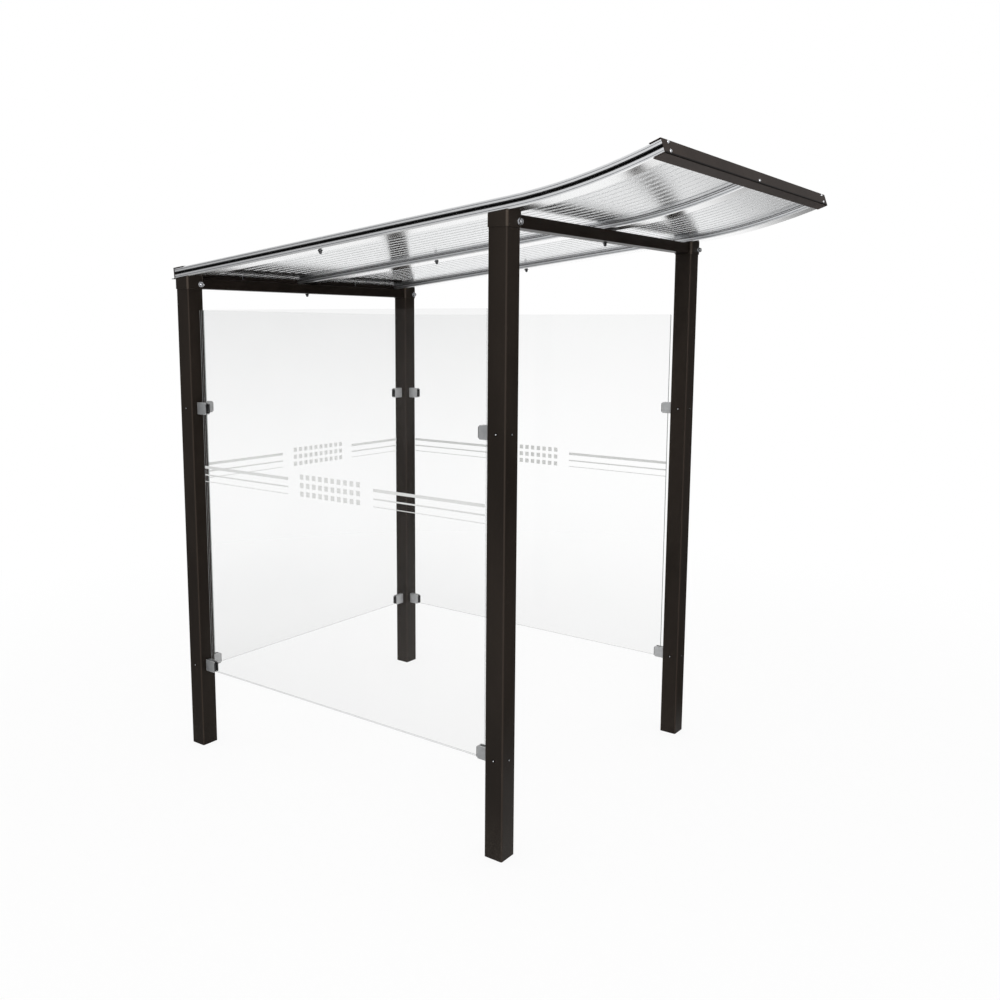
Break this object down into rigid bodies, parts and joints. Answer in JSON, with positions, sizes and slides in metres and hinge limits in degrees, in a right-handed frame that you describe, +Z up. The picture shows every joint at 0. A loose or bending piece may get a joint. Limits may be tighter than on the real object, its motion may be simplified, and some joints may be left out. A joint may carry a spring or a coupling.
{
  "type": "open-fronted glazed cashier shelter",
  "caption": "Small open-fronted shelter: square steel posts, clamped glass on the sides and back, and a clear multiwall roof between aluminium rails that sweeps up over the entrance.",
  "frame": {"origin": "on the ground, at the middle of the whole shelter's footprint, roof overhang included", "axes": "+X to the right of someone looking in at the open front, +Y from the open front to the back pane, +Z up"},
  "size_m": [1.527, 2.398, 2.51],
  "materials": {
    "post_paint": "dark brown satin powder coat over steel",
    "frame_paint": "dark brown satin powder coat over steel",
    "trim_paint": "dark brown satin powder coat over steel",
    "glass": "clear toughened glass with ground edges",
    "clamp_metal": "satin cast aluminium",
    "rubber": "matt black rubber",
    "rail_metal": "mill-finish extruded aluminium with fine lengthwise lines",
    "sheet": "clear multiwall polycarbonate with lengthwise ribs",
    "zinc": "bright zinc plate"
  },
  "bodies": {
    "root": {"post_front_left": "post_paint", "post_front_right": "post_paint", "post_rear_left": "post_paint", "post_rear_right": "post_paint", "post_plugs": "zinc", "glass_left": "glass", "glass_back": "glass", "glass_right": "glass", "clamps_left": "clamp_metal", "clamps_back": "clamp_metal", "clamps_right": "clamp_metal", "pads_left": "rubber", "pads_back": "rubber", "pads_right": "rubber", "front_beam": "frame_paint", "rear_beam": "frame_paint", "sleeve_front_left": "frame_paint", "sleeve_front_right": "frame_paint", "sleeve_rear_left": "frame_paint", "sleeve_rear_right": "frame_paint", "sleeve_bolts": "zinc", "base_rail_left": "rail_metal", "base_rail_middle": "rail_metal", "base_rail_right": "rail_metal", "gaskets_left": "rubber", "gaskets_middle": "rubber", "gaskets_right": "rubber", "roof_sheet_left": "sheet", "roof_sheet_right": "sheet", "cap_rail_left": "rail_metal", "cap_rail_middle": "rail_metal", "cap_rail_right": "rail_metal", "rail_bolts_left": "zinc", "rail_bolts_middle": "zinc", "rail_bolts_right": "zinc", "front_trim": "trim_paint", "front_trim_screws": "zinc", "rear_trim": "trim_paint", "sheet_clips": "rail_metal"}
  },
  "joints": []
}
